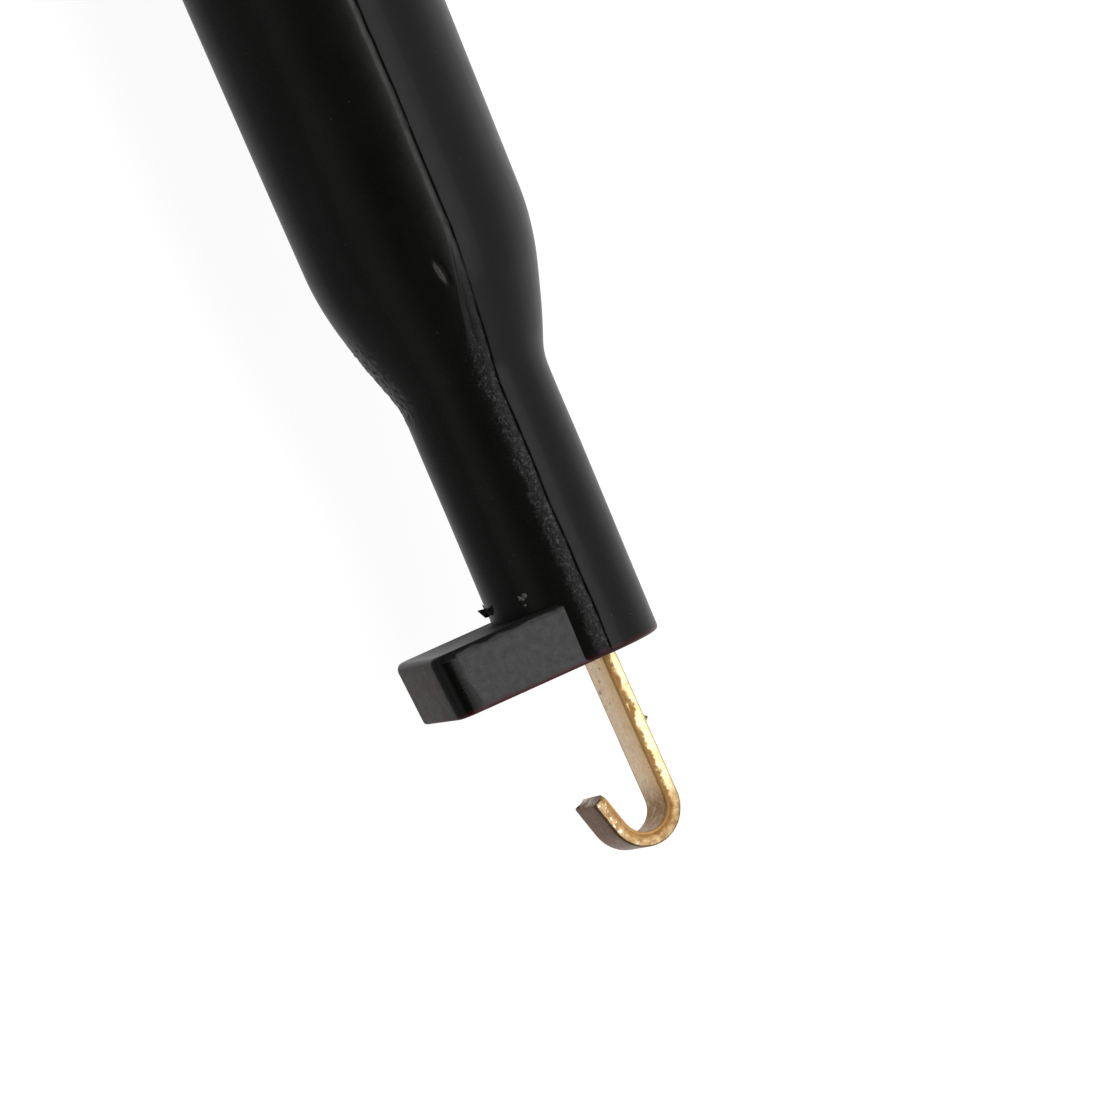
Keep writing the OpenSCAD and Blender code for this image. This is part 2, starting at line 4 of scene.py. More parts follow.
import bpy
import numpy as np
from mathutils import Matrix, Vector, noise as perlin
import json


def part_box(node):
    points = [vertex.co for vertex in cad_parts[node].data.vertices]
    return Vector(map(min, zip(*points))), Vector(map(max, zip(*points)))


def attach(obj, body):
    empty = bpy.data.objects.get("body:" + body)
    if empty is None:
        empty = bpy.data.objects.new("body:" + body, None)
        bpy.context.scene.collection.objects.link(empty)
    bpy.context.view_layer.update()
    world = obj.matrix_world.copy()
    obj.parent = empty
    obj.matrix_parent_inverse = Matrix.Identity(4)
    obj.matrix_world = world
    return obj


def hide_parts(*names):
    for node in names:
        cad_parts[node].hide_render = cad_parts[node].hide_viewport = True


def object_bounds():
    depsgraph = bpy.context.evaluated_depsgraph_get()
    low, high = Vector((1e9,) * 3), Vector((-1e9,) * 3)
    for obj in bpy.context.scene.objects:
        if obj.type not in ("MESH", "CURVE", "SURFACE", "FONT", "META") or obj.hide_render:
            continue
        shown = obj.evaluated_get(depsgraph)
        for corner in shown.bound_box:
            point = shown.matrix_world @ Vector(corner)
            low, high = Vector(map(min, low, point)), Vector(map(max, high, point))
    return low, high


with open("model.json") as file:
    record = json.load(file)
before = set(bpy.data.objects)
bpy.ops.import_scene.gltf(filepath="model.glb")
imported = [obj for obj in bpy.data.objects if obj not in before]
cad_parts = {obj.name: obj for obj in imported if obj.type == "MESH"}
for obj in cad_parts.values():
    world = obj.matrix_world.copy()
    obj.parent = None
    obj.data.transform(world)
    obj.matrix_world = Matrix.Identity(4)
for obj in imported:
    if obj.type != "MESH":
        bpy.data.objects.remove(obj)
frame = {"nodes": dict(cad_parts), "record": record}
CAD_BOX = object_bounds()
NODES = frame["nodes"]
MM = 0.001

# ---- places taken from the frame, in mm ----
STEM_TO_NOSE = 2.5                    # from the carrier's front end to the nose's end
NOSE_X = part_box("hook_carrier")[1].x / MM + STEM_TO_NOSE
SLEEVE_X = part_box("hook_sleeve")[0].x / MM
FLOOR_Z = CAD_BOX[0].z

# ---- the sleeve's sizes, in mm, as in the part's source ----
NOSE_R, NOSE_LEN, NOSE_ROUND = 2.6, 10.2, 0.15
SHOULDER = math.radians(17.5)
SHOULDER_LEN, BLEND_R, NOSE_FILLET = 3.0, 9.0, 0.4
DRAFT = math.radians(0.96)
COLLAR_X, COLLAR_LEN, COLLAR_R, COLLAR_ROUND = SLEEVE_X + 5, 3.6, 8.5, 0.5
FLAT_Z = 5.6                          # the collar's two flats
BORE_R, NOSE_BORE_R, HOOK_HOLE_R, NOSE_WALL = 3.15, 1.78, 1.2, 2.1
SPRING_SEAT_X, SLOT_END_X = 129.9, 124.9
SLOT_R, SLOT_HALF = 3.5, 0.6          # the slot that the carrier's key runs in
PARTING_STEP = 0.04                   # how far the left mould half stands proud

# ---- the lug ----
LUG_REACH, LUG_HALF, LUG_H, LUG_ROUND = 5.7, 2.5, 2.28, 0.6
LUG_MID_Y = -3.1                      # middle of the lug's front face
LUG_DROOP, LUG_DRAFT = math.radians(0.4), math.radians(4)

# ---- the hook ----
STRIP_T, STRIP_W, BEND_R = 0.53, 1.80, 0.85
BEND_ANGLE, HOOK_LEAN, HOOK_TWIST = map(math.radians, (164, 1.4, -6))
HOOK_REACH, HOOK_OFFSET, ARM_LEN = 5.34, 0.39, 1.2
BURR_AT, BURR_HIGH, BURR_LONG, BURR_WIDE = 2.62, 0.13, 0.075, 0.11

# ---- the photograph's view ----
PHOTO_PX = 1100
PX_PER_MM = 29.37
CAMERA_TILT = math.radians(16.5)      # how far the view leans towards the lug
CAMERA_LEAN = math.radians(3.5)       # how far it looks forward along the probe
AXIS_RIGHT, AXIS_DOWN = 0.3846, 0.9231  # direction of the probe's axis in the picture
NOSE_PX = (588.2, 657.3)              # centre of the nose's end in the picture
LENS_MM = 300.0
SENSOR_MM = 36.0


def make_camera():
    """A long lens at the photograph's viewing angle."""
    toward = Vector((-math.sin(CAMERA_LEAN),
                     -math.cos(CAMERA_LEAN) * math.sin(CAMERA_TILT),
                     math.cos(CAMERA_LEAN) * math.cos(CAMERA_TILT)))
    axis = (Vector((1, 0, 0)) - toward * toward.x).normalized()
    across = toward.cross(axis)
    right = AXIS_DOWN * across + AXIS_RIGHT * axis
    down = -AXIS_RIGHT * across + AXIS_DOWN * axis
    off = [(p - PHOTO_PX / 2) / PX_PER_MM * MM for p in NOSE_PX]
    target = Vector((NOSE_X * MM, 0, 0)) - right * off[0] - down * off[1]
    width = PHOTO_PX / PX_PER_MM * MM
    data = bpy.data.cameras.new("photo_camera")
    data.lens, data.sensor_width = LENS_MM, SENSOR_MM
    data.clip_start, data.clip_end = 0.01, 10
    camera = bpy.data.objects.new("photo_camera", data)
    bpy.context.scene.collection.objects.link(camera)
    turn = Matrix((right, -down, toward)).transposed().to_4x4()
    camera.matrix_world = Matrix.Translation(target + toward * width * LENS_MM / SENSOR_MM) @ turn
    bpy.context.scene.camera = camera


# ---- nodes ----
def new_material(name, colour, rough, metal=0.0, spec=0.5):
    """A Principled material and its nodes, links and shader."""
    m = bpy.data.materials.new(name)
    m.use_nodes = True
    shader = m.node_tree.nodes["Principled BSDF"]
    shader.inputs["Base Color"].default_value = (*colour, 1)
    shader.inputs["Roughness"].default_value = rough
    shader.inputs["Metallic"].default_value = metal
    shader.inputs["Specular IOR Level"].default_value = spec
    return m, m.node_tree, shader


def mm_coords(tree):
    """Object coordinates in millimetres."""
    coords = tree.nodes.new("ShaderNodeTexCoord")
    scale = tree.nodes.new("ShaderNodeVectorMath")
    scale.operation = "SCALE"
    scale.inputs["Scale"].default_value = 1 / MM
    tree.links.new(coords.outputs["Object"], scale.inputs[0])
    return scale.outputs[0]


def noise(tree, coords, scale, detail=4.0, rough=0.55, stretch=None):
    """Noise with scale given per millimetre."""
    if stretch:
        m = tree.nodes.new("ShaderNodeMapping")
        m.inputs["Scale"].default_value = stretch
        tree.links.new(coords, m.inputs["Vector"])
        coords = m.outputs["Vector"]
    n = tree.nodes.new("ShaderNodeTexNoise")
    n.inputs["Scale"].default_value = scale
    n.inputs["Detail"].default_value = detail
    n.inputs["Roughness"].default_value = rough
    tree.links.new(coords, n.inputs["Vector"])
    return n.outputs["Fac"]


def span(tree, value, lo, hi, to_lo=0.0, to_hi=1.0, smooth=False):
    """Maps a value from one range to another, clamped."""
    n = tree.nodes.new("ShaderNodeMapRange")
    n.interpolation_type = "SMOOTHSTEP" if smooth else "LINEAR"
    for socket, v in zip(("From Min", "From Max", "To Min", "To Max"), (lo, hi, to_lo, to_hi)):
        n.inputs[socket].default_value = v
    tree.links.new(value, n.inputs["Value"])
    return n.outputs["Result"]


def math_node(tree, op, a, b=None):
    """A sum on one or two values, each a number or a node's output."""
    n = tree.nodes.new("ShaderNodeMath")
    n.operation = op
    for i, v in enumerate((a, b)):
        if v is None:
            continue
        if isinstance(v, (int, float)):
            n.inputs[i].default_value = v
        else:
            tree.links.new(v, n.inputs[i])
    return n.outputs[0]


def times(tree, a, b):
    return math_node(tree, "MULTIPLY", a, b)


def plus(tree, a, b):
    return math_node(tree, "ADD", a, b)


def across_mm(tree):
    """The local Y of a stage plane, in millimetres."""
    sides = tree.nodes.new("ShaderNodeSeparateXYZ")
    tree.links.new(mm_coords(tree), sides.inputs[0])
    return sides.outputs["Y"]


def mix(tree, fac, a, b):
    """Mixes two colours."""
    n = tree.nodes.new("ShaderNodeMix")
    n.data_type = "RGBA"
    for socket, v in ((n.inputs["Factor"], fac), (n.inputs[6], a), (n.inputs[7], b)):
        if isinstance(v, tuple):
            socket.default_value = (*v, 1)
        elif isinstance(v, (int, float)):
            socket.default_value = v
        else:
            tree.links.new(v, socket)
    return n.outputs[2]


def attribute(tree, name):
    """A value stored on the mesh."""
    n = tree.nodes.new("ShaderNodeAttribute")
    n.attribute_name = name
    return n.outputs["Fac"]


def bump(tree, shader, height, strength, depth_mm):
    """Fine relief in the shading only."""
    b = tree.nodes.new("ShaderNodeBump")
    b.inputs["Strength"].default_value = strength
    b.inputs["Distance"].default_value = depth_mm * MM
    tree.links.new(height, b.inputs["Height"])
    tree.links.new(b.outputs["Normal"], shader.inputs["Normal"])


# ---- materials ----
def moulded_plastic(name, dark, light, rough, grain=14.0, depth=0.004, spec=0.4,
                    worn=0.0, scuffs=0.0):
    """Moulded plastic: a fine grain, faint blotches, rubbed smoother patches and scuffs."""
    m, t, s = new_material(name, dark, rough, spec=spec)
    at = mm_coords(t)
    blotch = noise(t, at, 0.5, 3)
    fine = noise(t, at, grain, 2)
    tone = mix(t, span(t, blotch, 0.35, 0.65), dark, light)
    tone = mix(t, span(t, fine, 0.55, 0.8, 0, 0.35), tone, tuple(min(1, 2.2 * c) for c in light))
    rubbed = span(t, noise(t, at, 0.11, 3), 0.45, 0.62)
    if scuffs:
        hair = noise(t, at, 2.0, 3, 0.5, stretch=(0.18, 3.0, 3.0))
        tone = mix(t, span(t, hair, 0.66, 0.74, 0, scuffs), tone,
                   tuple(min(1, 4 * c + 0.02) for c in light))
    t.links.new(tone, s.inputs["Base Color"])
    gloss = span(t, fine, 0.3, 0.7, rough - 0.08, rough + 0.1)
    gloss = math_node(t, "SUBTRACT", gloss, times(t, rubbed, worn))
    t.links.new(gloss, s.inputs["Roughness"])
    bump(t, s, fine, 0.6, depth)
    return m


def metal(name, colour, dull, rough, stretch=(1, 6, 6), scale=5.0):
    """Turned or drawn metal with fine tool lines and a dull bloom."""
    m, t, s = new_material(name, colour, rough, metal=1.0)
    at = mm_coords(t)
    bloom = noise(t, at, 0.8, 4)
    t.links.new(mix(t, span(t, bloom, 0.4, 0.7), colour, dull), s.inputs["Base Color"])
    lines = noise(t, at, scale, 3, stretch=stretch)
    t.links.new(span(t, lines, 0.3, 0.7, rough - 0.07, rough + 0.12), s.inputs["Roughness"])
    bump(t, s, lines, 0.25, 0.004)
    return m


def sleeve_plastic():
    """Glossy black plastic: one mould half polished, the other duller, and a rough seam."""
    m, t, s = new_material("sleeve_black", (0.0045, 0.0045, 0.0045), 0.35, spec=0.22)
    s.inputs["Sheen Weight"].default_value = 0.015
    s.inputs["Sheen Roughness"].default_value = 0.22
    s.inputs["Sheen Tint"].default_value = (1.0, 0.93, 0.92, 1)
    at = mm_coords(t)
    right = attribute(t, "half")
    rough_band = attribute(t, "band")
    blotch = span(t, noise(t, at, 0.35, 3), 0.35, 0.65)
    # painted light: the left half's base is lighter than the right half's, standing in for the
    # light that the dark card keeps off that side; the blotches are the plastic's own uneven tone
    left_tone_painted_fill = mix(t, blotch, (0.0082, 0.0080, 0.0070), (0.0108, 0.0105, 0.0094))
    right_tone = mix(t, blotch, (0.0044, 0.0046, 0.0053), (0.0060, 0.0062, 0.0070))
    tone = mix(t, right, left_tone_painted_fill, right_tone)
    # painted highlight: pale flecks on the grit of the rough band stand in for glints off its
    # bumps
    grit = span(t, noise(t, at, 8, 3, 0.7), 0.53, 0.65)
    painted_grit_glints = times(t, times(t, grit, rough_band), 0.8)
    tone = mix(t, painted_grit_glints, tone, (0.115, 0.110, 0.106))
    # painted shade: the seam's groove gets a near-black tone and is made metallic, so that it
    # reflects almost nothing, like shade in the crease
    groove = attribute(t, "groove")
    tone = mix(t, groove, tone, (0.0015, 0.0014, 0.0013))
    t.links.new(groove, s.inputs["Metallic"])
    tone = mix(t, attribute(t, "edge"), tone, (0.050, 0.008, 0.011))
    # painted highlight: a pale line along the proud ridge left of the seam
    tone = mix(t, attribute(t, "ridge_highlight"), tone, (0.066, 0.064, 0.061))
    # painted highlight: the nick is a real dent, and its pale tone stands in for the light on its
    # wall
    tone = mix(t, attribute(t, "nick"), tone, (0.085, 0.070, 0.066))
    t.links.new(tone, s.inputs["Base Color"])
    fine = noise(t, at, 13, 3, 0.6)
    gloss = span(t, right, 0, 1, 0.28, 0.34)
    gloss = plus(t, gloss, span(t, noise(t, at, 1.3, 3), 0.3, 0.7, -0.03, 0.03))
    gloss = plus(t, gloss, times(t, rough_band, 0.06))
    t.links.new(gloss, s.inputs["Roughness"])
    bump(t, s, times(t, fine, rough_band), 0.8, 0.028)
    return m


def lug_plastic():
    """The lug's broad faces and end are matt and scuffed; its other edges are polished."""
    m, t, s = new_material("lug_black", (0.02, 0.02, 0.02), 0.5, spec=0.3)
    at = mm_coords(t)
    broad = attribute(t, "broad")
    fine = noise(t, at, 12, 4, 0.6)
    ragged = span(t, noise(t, at, 1.9, 5, 0.6), 0.3, 0.7, -0.26, 0.26)
    face = plus(t, attribute(t, "face"), times(t, broad, ragged))
    face = span(t, face, 0.28, 0.85, smooth=True)
    mottle = span(t, noise(t, at, 3.2, 5, 0.65), 0.34, 0.68)
    # painted light: the end's base is much lighter than the front face's, standing in for the
    # floor's reflection on that face; the mottle and rust are the plastic's own
    end_tone_painted_light = mix(t, mottle, (0.140, 0.128, 0.123), (0.185, 0.174, 0.170))
    rust = span(t, noise(t, at, 2.4, 4, 0.6), 0.44, 0.60, 0.0, 0.75)
    end_tone_painted_light = mix(t, rust, end_tone_painted_light, (0.120, 0.078, 0.074))
    front_tone = mix(t, mottle, (0.063, 0.062, 0.061), (0.103, 0.103, 0.105))
    dark = span(t, noise(t, at, 4.5, 4, 0.6, stretch=(1, 0.6, 1)), 0.58, 0.72, 0.0, 0.5)
    front_tone = mix(t, dark, front_tone, (0.040, 0.040, 0.041))
    scratch = span(t, noise(t, at, 7, 2, 0.5, stretch=(2.2, 0.4, 1)), 0.66, 0.74, 0, 0.5)
    front_tone = mix(t, scratch, front_tone, (0.155, 0.155, 0.155))
    tone = mix(t, broad, end_tone_painted_light, front_tone)
    tone = mix(t, face, (0.0052, 0.0050, 0.0044), tone)
    # painted highlight: a pale line along the polished ridge at the end's corner
    tone = mix(t, attribute(t, "ridge_highlight"), tone, (0.150, 0.140, 0.135))
    tone = mix(t, attribute(t, "edge"), tone, (0.085, 0.012, 0.016))
    t.links.new(tone, s.inputs["Base Color"])
    gloss = plus(t, span(t, face, 0, 1, 0.24, 0.46), span(t, fine, 0.3, 0.7, -0.05, 0.07))
    t.links.new(plus(t, gloss, attribute(t, "root")), s.inputs["Roughness"])
    bump(t, s, times(t, fine, span(t, face, 0, 1, 0.2, 1)), 0.5, 0.012)
    return m


def hook_gold():
    """Worn gold plate: bright on the shank's edge face, brown on the bend, arm and back."""
    m, t, s = new_material("hook_gold", (0.95, 0.72, 0.36), 0.3, metal=1.0)
    at = mm_coords(t)
    around, along = attribute(t, "around_mm"), attribute(t, "along_mm")
    fine = noise(t, at, 14, 4, 0.6)
    soft = span(t, noise(t, at, 2.2, 3), 0.35, 0.65)
    mottle = span(t, noise(t, at, 5, 4, 0.62), 0.36, 0.66)
    bent = span(t, along, 4.4, 5.9, smooth=True)
    # the edge face: bright along the shank, tarnished from the bend on, with pale spots on the arm
    # painted as glints
    bright = mix(t, soft, (1.0, 0.87, 0.53), (0.93, 0.71, 0.36))
    brown = mix(t, mottle, (0.27, 0.155, 0.060), (0.50, 0.36, 0.195))
    painted_glint_spots = times(t, span(t, noise(t, at, 6.5, 3, 0.5), 0.58, 0.66), span(t, along, 7.4, 8.6))
    brown = mix(t, painted_glint_spots, brown, (0.95, 0.80, 0.60))
    edge_face = mix(t, bent, bright, brown)
    # the inner face is a dull tan, with ragged gold towards the edge face
    inner = mix(t, mottle, (1.0, 0.78, 0.53), (0.84, 0.62, 0.41))
    ragged = plus(t, around, span(t, noise(t, at, 3.5, 4, 0.6), 0.35, 0.65, -0.22, 0.22))
    inner = mix(t, times(t, span(t, ragged, -0.95, -0.2), 0.9), inner, (0.87, 0.57, 0.27))
    inner = mix(t, times(t, bent, 0.5), inner, (0.50, 0.33, 0.15))
    # the outer face is dark, darkest beside the edge face
    outer = mix(t, span(t, around, STRIP_T, STRIP_T + 0.7), (0.140, 0.055, 0.020),
                (0.185, 0.098, 0.050))
    outer = mix(t, times(t, mottle, 0.5), outer, (0.28, 0.165, 0.095))
    tone = mix(t, span(t, around, -0.05, 0.03), inner, edge_face)
    tone = mix(t, span(t, around, STRIP_T - 0.04, STRIP_T + 0.02), tone, outer)
    # an orange-brown streak that wanders along the front corner of the shank
    wander = span(t, noise(t, along, 0.8, 2), 0.3, 0.7, -0.20, 0.06)
    wander = plus(t, plus(t, around, wander),
                  span(t, noise(t, at, 7, 2), 0.3, 0.7, -0.05, 0.05))
    width = span(t, noise(t, at, 1.6, 3), 0.35, 0.65, 0.10, 0.20)
    near = math_node(t, "DIVIDE", math_node(t, "ABSOLUTE", wander), width)
    near = span(t, near, 0.25, 1.25, 1, 0, smooth=True)
    streak = times(t, near, span(t, mottle, 0.0, 0.35, 0.6, 0.95))
    streak = times(t, streak, span(t, along, 7.2, 8.0, 1, 0.3))
    on_edge_face = span(t, around, -0.06, 0.03)
    tone = mix(t, streak, tone, mix(t, on_edge_face, (0.92, 0.47, 0.15), (0.45, 0.20, 0.043)))
    # brown on the inner side of the bend, patches, pits, an orange fold and dark corners
    inside_bend = times(t, span(t, around, 0.30, 0.02), bent)
    inside_bend = times(t, inside_bend, span(t, mottle, 0, 0.5, 0.5, 1))
    tone = mix(t, inside_bend, tone, (0.30, 0.150, 0.040))
    patch = span(t, noise(t, at, 3.2, 5, 0.65), 0.61, 0.67, 0, 0.8)
    tone = mix(t, patch, tone, (0.40, 0.20, 0.065))
    pit = span(t, noise(t, at, 16, 2, 0.5), 0.68, 0.74, 0, 0.75)
    tone = mix(t, pit, tone, (0.10, 0.07, 0.05))
    fold = span(t, math_node(t, "ABSOLUTE", around), 0.03, 0.10, 0.9, 0, smooth=True)
    tone = mix(t, fold, tone, (1.0, 0.56, 0.19))
    tone = mix(t, attribute(t, "corner"), tone, (0.09, 0.055, 0.035))
    oxide = math_node(t, "MAXIMUM", times(t, fold, 0.8),
                      times(t, times(t, streak, 0.6), on_edge_face))
    t.links.new(math_node(t, "SUBTRACT", 1.0, oxide), s.inputs["Metallic"])
    worn_end = mix(t, span(t, noise(t, at, 1.7, 3), 0.36, 0.52), (0.80, 0.72, 0.62),
                   (0.20, 0.105, 0.055))
    tone = mix(t, attribute(t, "tip"), tone, worn_end)
    t.links.new(tone, s.inputs["Base Color"])
    t.links.new(plus(t, span(t, fine, 0.3, 0.7, 0.26, 0.42), times(t, streak, 0.2)),
                s.inputs["Roughness"])
    bump(t, s, math_node(t, "SUBTRACT", fine, times(t, pit, 0.5)), 0.35, 0.01)
    return m


# ---- meshes ----
def add_mesh(name, verts_mm, faces, attributes=(), sharp=35):
    """A mesh piece from points in mm, with per-point values for its material."""
    data = bpy.data.meshes.new(name)
    data.from_pydata([tuple(c * MM for c in v) for v in verts_mm], [], faces)
    data.validate()
    data.shade_smooth()
    data.set_sharp_from_angle(angle=math.radians(sharp))
    for key, values in attributes:
        layer = data.attributes.new(key, "FLOAT", "POINT")
        layer.data.foreach_set("value", np.asarray(values, dtype=np.float32))
    obj = bpy.data.objects.new(name, data)
    bpy.context.scene.collection.objects.link(obj)
    return obj


def tube_faces(rows, cols, close_rows=False):
    """Quads of a grid whose columns close on themselves."""
    faces = []
    for i in range(rows if close_rows else rows - 1):
        a, b = i * cols, ((i + 1) % rows) * cols
        for j in range(cols):
            k = (j + 1) % cols
            faces.append((a + j, a + k, b + k, b + j))
    return faces


def placed(verts, angle, axis):
    """Turns points about the nose's end and moves them to their place."""
    turn = Matrix.Rotation(angle, 4, axis)
    return [tuple(turn @ Vector(v) + Vector((NOSE_X, 0, 0))) for v in verts]


def wobble(points, scale, octaves=1):
    """Smooth noise of about -1 to 1 at points in mm."""
    total, size, out = 0.0, 1.0, np.zeros(len(points))
    for octave in range(octaves):
        k = scale * 2 ** octave
        out += size * np.array([perlin.noise((p[0] * k, p[1] * k, p[2] * k)) for p in points])
        total += size
        size *= 0.5
    return out / total


def smooth_step(lo, hi, v):
    """0 at lo, 1 at hi, and eased between."""
    t = np.clip((v - lo) / (hi - lo), 0, 1)
    return t * t * (3 - 2 * t)


def sleeve_radius(s):
    """The sleeve's outer radius at s mm behind the nose's end."""
    slope_end = NOSE_LEN + SHOULDER_LEN
    slope_r = NOSE_R + SHOULDER_LEN * math.tan(SHOULDER)
    blend_s = slope_end + BLEND_R * math.sin(SHOULDER)
    blend_c = slope_r - BLEND_R * math.cos(SHOULDER)
    blend_end = blend_s - BLEND_R * math.sin(DRAFT)
    if abs(s - NOSE_LEN) < NOSE_FILLET:
        return NOSE_R + math.tan(SHOULDER) * (s - NOSE_LEN + NOSE_FILLET) ** 2 / (4 * NOSE_FILLET)
    if s <= NOSE_LEN:
        return NOSE_R
    if s <= slope_end:
        return NOSE_R + (s - NOSE_LEN) * math.tan(SHOULDER)
    if s <= blend_end:
        return blend_c + math.sqrt(BLEND_R ** 2 - (blend_s - s) ** 2)
    return blend_c + BLEND_R * math.cos(DRAFT) + (s - blend_end) * math.tan(DRAFT)


# ---- the sleeve's moulding, at distances in mm behind the nose's end ----
# the parting line's angle round the sleeve
LINE_S = [0.3, 1.7, 2.6, 4.4, 5.3, 6.2, 7.0, 7.9, 8.8, 9.3, 10, 11, 11.9, 12.8, 14.0, 14.9,
          15.3, 15.8, 18.4, 20.2, 22, 24, 34, 38, 60]
LINE_DEG = [1.9, 2.7, 1.9, 1.9, 0.6, 1.2, 1.9, 1.2, 1.8, 0.6, 1.2, 2.0, 2.2, 1.7, 2.2, 2.2,
            2.8, 2.4, 2.2, 2.5, 1.8, 1.3, 1.0, 0, 0]
LINE_WAVER_DEG = 0.22
# the width of the worn slope on the line's left
SLOPE_S = [0, 7, 9, 9.8, 10.8, 12, 13, 14.5, 15.0, 15.6, 60]
SLOPE_MM = [0.60, 0.66, 0.66, 0.74, 0.90, 0.60, 0.50, 0.30, 0.26, 0.24, 0.24]
# how far the two sides stand off the plain profile
LEFT_S = [0, 6, 7.6, 9.1, 10.6, 12.3, 13.9, 15.5, 18, 26]
LEFT_MM = [0, 0.01, 0.028, 0.045, 0.045, 0.065, -0.015, -0.035, -0.02, 0]
RIGHT_S = [0, 7, 8.5, 10, 11.2, 12.6, 13.9, 16.9, 20, 26]
RIGHT_MM = [0, 0, -0.02, -0.03, 0.085, 0.09, 0.055, 0.04, 0.03, 0]
# the seam's groove: its depth, and the strength of the painted shade in it
GROOVE_S = [0, 0.25, 2, 9, 12, 13, 14.4, 15.2, 60]
GROOVE_MM = [0, 0.02, 0.03, 0.03, 0.03, 0.012, 0.012, 0.03, 0.03]
GROOVE_SHADE_S, GROOVE_SHADE = [0.1, 0.3, 12, 13, 14.6, 15.2, 60], [0, 1, 1, 0.25, 0.25, 1, 1]
# the shares of the full step, grit and the painted highlight on the ridge along the seam
STEP_S, STEP_SHARE = [0, 0.2, 9, 13, 60], [0.3, 1.1, 1.1, 1, 1]
GRIT_S, GRIT_SHARE = [0, 0.3, 10.4, 12, 15, 60], [0.3, 1, 1, 0.3, 0, 0]
RIDGE_HIGHLIGHT_S, RIDGE_HIGHLIGHT_SHARE = [0.2, 0.6, 12, 14.4, 15, 60], [0, 0.25, 0.25, 0.3, 1, 1]
# the angle of the shallow sink along the left half
SINK_S, SINK_DEG = [0, 10, 14.6, 16.6, 20.7, 24.3, 60], [-50, -52, -60, -62, -54, -49, -46]
GRIT_MM, PEEL_MM, SWELL_MM, SINK_MM, NICK_MM = 0.016, 0.07, 0.0022, 0.034, 0.09
NICK_S, NICK_DEG, NICK_SLANT = 14.15, -9.9, 0.20


def eased(s, xs, ys):
    """Linear interpolation with its corners softened over about 1 mm."""
    return sum(np.interp(s + k * 0.2, xs, ys) for k in range(-3, 4)) / 7


def sleeve_rows():
    """Rings of (x, radius, kind) from the hook's hole over the outside and back inside."""
    rows = [(NOSE_X, r, "end") for r in (HOOK_HOLE_R, 1.6, 2.0, 2.3, NOSE_R - NOSE_ROUND)]
    for i in range(1, 6):
        a = math.radians(90 * i / 5)
        rows.append((NOSE_X - NOSE_ROUND + NOSE_ROUND * math.cos(a),
                     NOSE_R - NOSE_ROUND + NOSE_ROUND * math.sin(a), "edge"))
    collar_front = COLLAR_X + COLLAR_LEN
    wall_end = NOSE_X - collar_front - 1.2
    stations = list(np.arange(0.2, 14.8, 0.05)) + list(np.arange(14.8, 25.6, 0.1))
    stations += list(np.arange(26, wall_end, 0.8)) + [wall_end]
    rows += [(NOSE_X - s, sleeve_radius(s), "skin") for s in stations]
    wall_r = sleeve_radius(NOSE_X - collar_front)
    skirt_r = wall_r + 0.5
    for x, r in ((collar_front + 0.7, wall_r + 0.15), (collar_front + 0.3, wall_r + 0.5),
                 (collar_front, wall_r + 1.2)):
        rows.append((x, r, "collar"))
    for corner, start in ((collar_front, 0), (COLLAR_X, 90)):
        side = 1 if start == 0 else -1
        for i in range(6):
            a = math.radians(start + 90 * i / 5)
            rows.append((corner - side * COLLAR_ROUND + COLLAR_ROUND * math.cos(a),
                         COLLAR_R - COLLAR_ROUND + COLLAR_ROUND * math.sin(a), "collar"))
    rows += [(COLLAR_X, skirt_r + 0.12, "collar"), (COLLAR_X - 0.12, skirt_r, "collar"),
             (SLEEVE_X + 0.4, skirt_r, "collar"), (SLEEVE_X + 0.12, skirt_r - 0.12, "collar"),
             (SLEEVE_X, skirt_r - 0.4, "collar"), (SLEEVE_X, BORE_R, "bore")]
    rows += [(x, BORE_R, "bore") for x in (SLEEVE_X + 8, SLOT_END_X - 0.01)]
    rows += [(SLOT_END_X, BORE_R, "inside"), (SPRING_SEAT_X, BORE_R, "inside"),
             (SPRING_SEAT_X, NOSE_BORE_R, "inside"),
             (NOSE_X - NOSE_WALL, NOSE_BORE_R, "inside"),
             (NOSE_X - NOSE_WALL, HOOK_HOLE_R, "inside")]
    return rows


def sleeve_columns():
    """Angles round the sleeve from the parting line, closest where there is detail."""
    near = [0, 0.3, 0.6, 0.9, 1.2, 1.6, 2.2, 3.2, 5, 7.5]
    left = [-v for v in (0.3, 0.6, 0.9)] + list(np.arange(-1.3, -17, -0.5))
    flat = math.degrees(math.acos(FLAT_Z / COLLAR_R))
    slot = math.degrees(math.asin(SLOT_HALF / BORE_R))
    wide = list(np.arange(12, 181, 4)) + list(np.arange(-20, -75, -4))
    wide += list(np.arange(-76, -126, -1.5)) + list(np.arange(-128, -179, -4))
    corners = [flat, -flat, 180 - flat, flat - 180, slot, slot - 0.1, -slot, 0.1 - slot]
    angles = sorted(near + left + wide + corners)
    kept = [angles[0]]
    for v in angles[1:]:
        if v - kept[-1] > 0.05:
            kept.append(v)
    return np.array(kept)


def seam_degrees(s, on_outside):
    """The parting line's angle at every point, smoothed and a little uneven."""
    fine_s = np.arange(0, 60, 0.1)
    line = np.interp(fine_s, LINE_S, LINE_DEG)
    line = np.convolve(np.pad(line, 6, "edge"), np.ones(13) / 13, "valid")
    waver = np.array([perlin.noise((v * 1.7, 3.1, 0)) for v in fine_s])
    line += LINE_WAVER_DEG * waver * (fine_s < 34)
    return np.interp(s, fine_s, line) * on_outside


